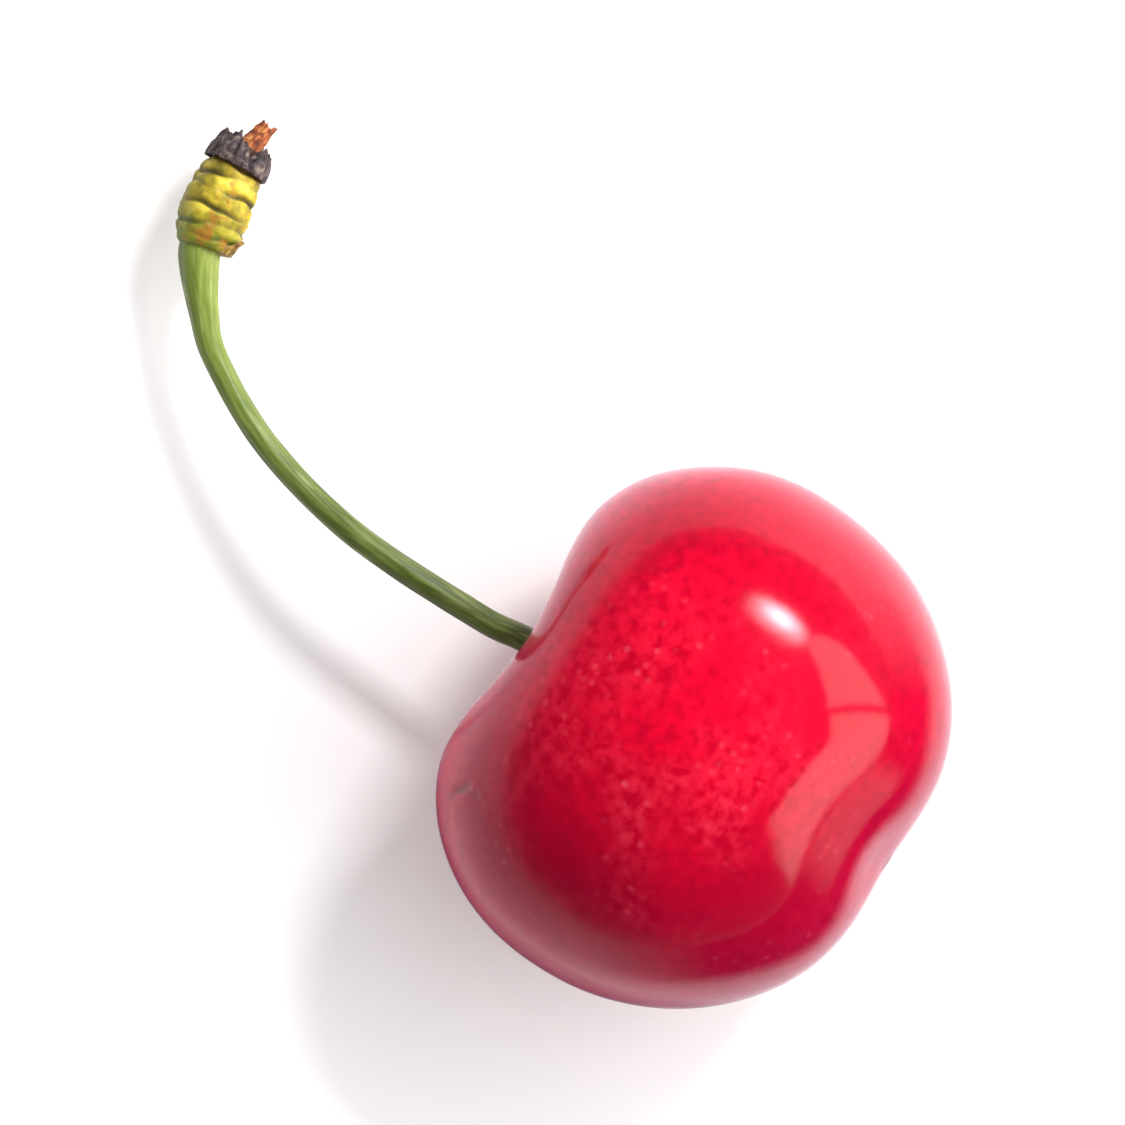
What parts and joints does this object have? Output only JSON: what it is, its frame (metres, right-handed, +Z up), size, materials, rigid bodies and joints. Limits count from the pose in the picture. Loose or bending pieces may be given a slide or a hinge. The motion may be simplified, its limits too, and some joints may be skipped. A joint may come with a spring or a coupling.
{
  "type": "sweet cherry on its stalk",
  "caption": "Whole sweet cherry lying on its side, with a curved green stalk that ends in a ringed yellow knob of bark and dry bud scales.",
  "frame": {"origin": "centre of the small flat under the fruit that the cherry rests on", "axes": "+Z up, +Y level, from the fruit towards the stalk and the longest way through the part, +X from the left cheek to the right cheek"},
  "size_m": [0.028, 0.0474, 0.0229],
  "materials": {
    "skin": "glossy waxy skin over translucent red flesh",
    "green_stalk": "satin green stalk, finely ribbed along its length",
    "ringed_bark": "matt yellow-green bark with ring scars",
    "dry_scale": "dry papery dark brown scale",
    "torn_wood": "torn fibrous orange-brown wood",
    "dry_bract": "dry thin brown bract"
  },
  "bodies": {
    "root": {"fruit": "skin", "stalk": "green_stalk", "spur_knob": "ringed_bark", "bud_scale_1": "dry_scale", "bud_scale_2": "dry_scale", "bud_scale_3": "dry_scale", "bud_scale_4": "dry_scale", "torn_tip": "torn_wood", "bract": "dry_bract"}
  },
  "joints": []
}
